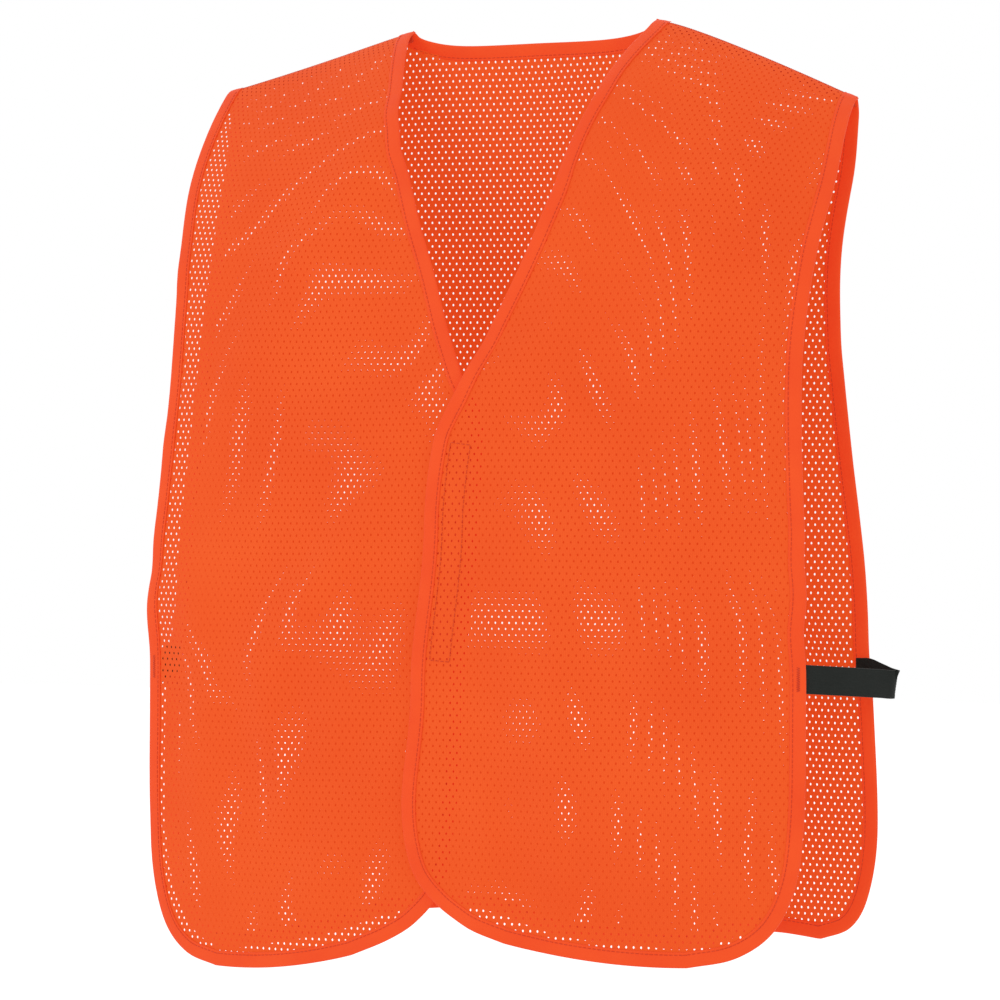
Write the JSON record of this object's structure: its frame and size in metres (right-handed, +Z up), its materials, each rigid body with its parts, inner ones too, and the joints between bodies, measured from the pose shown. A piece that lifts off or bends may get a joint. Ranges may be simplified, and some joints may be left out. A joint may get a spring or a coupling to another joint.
{
  "type": "mesh safety vest",
  "caption": "Sleeveless high visibility vest of orange mesh with bound edges, open sides, elastic side straps and a hook-and-loop front.",
  "frame": {"origin": "middle of the neck opening, level with the points where the shoulder seams meet the neckline", "axes": "+Z up, the front faces -Y, and the wearer's left is at +X"},
  "size_m": [0.5506, 0.174, 0.6503],
  "materials": {
    "mesh": "matte perforated polyester knit",
    "tape": "matte polyester binding tape",
    "thread": "spun polyester thread",
    "hooks": "nylon hook tape",
    "loops": "napped nylon loop tape",
    "elastic": "ribbed black woven elastic"
  },
  "bodies": {
    "back": {"back_panel": "mesh", "back_outer_binding": "tape", "back_neck_binding": "tape", "back_outer_stitching": "thread", "back_neck_stitching": "thread", "left_shoulder_seam": "thread", "right_shoulder_seam": "thread", "left_back_bar_tack": "thread", "right_back_bar_tack": "thread"},
    "left_front": {"left_front_panel": "mesh", "left_front_binding": "tape", "left_front_stitching": "thread", "hook_strip": "hooks", "hook_strip_stitching": "thread", "left_front_bar_tack": "thread"},
    "right_front": {"right_front_panel": "mesh", "right_front_binding": "tape", "right_front_stitching": "thread", "loop_strip": "loops", "loop_strip_stitching": "thread", "right_front_bar_tack": "thread"},
    "left_strap": {"left_side_strap": "elastic"},
    "right_strap": {"right_side_strap": "elastic"}
  },
  "joints": [
    {"name": "left_front_open", "type": "hinge", "parent": "back", "child": "left_front", "pos_m": [0.24338, -0.11069, -0.44705], "axis": [-0.0094, 0.2671, 0.9636], "range_deg": [0, 75]},
    {"name": "right_front_open", "type": "hinge", "parent": "back", "child": "right_front", "pos_m": [-0.2439, -0.11051, -0.44705], "axis": [0.0106, 0.2666, 0.9637], "range_deg": [-60, 0]},
    {"name": "left_strap_swing", "type": "hinge", "parent": "back", "child": "left_strap", "pos_m": [0.2418, -0.11068, -0.44706], "axis": [0.3604, 0.9317, 0.0456], "range_deg": [-45, 45], "stiffness_Nm_per_rad": 0.02, "deforming": ["left_side_strap"]},
    {"name": "right_strap_swing", "type": "hinge", "parent": "back", "child": "right_strap", "pos_m": [-0.24232, -0.1105, -0.44706], "axis": [-0.3488, 0.9361, 0.046], "range_deg": [-45, 45], "stiffness_Nm_per_rad": 0.02, "deforming": ["right_side_strap"]}
  ],
  "couplings": [
    {"joint": "right_front_open", "follows": "left_front_open", "ratio": -0.8}
  ]
}
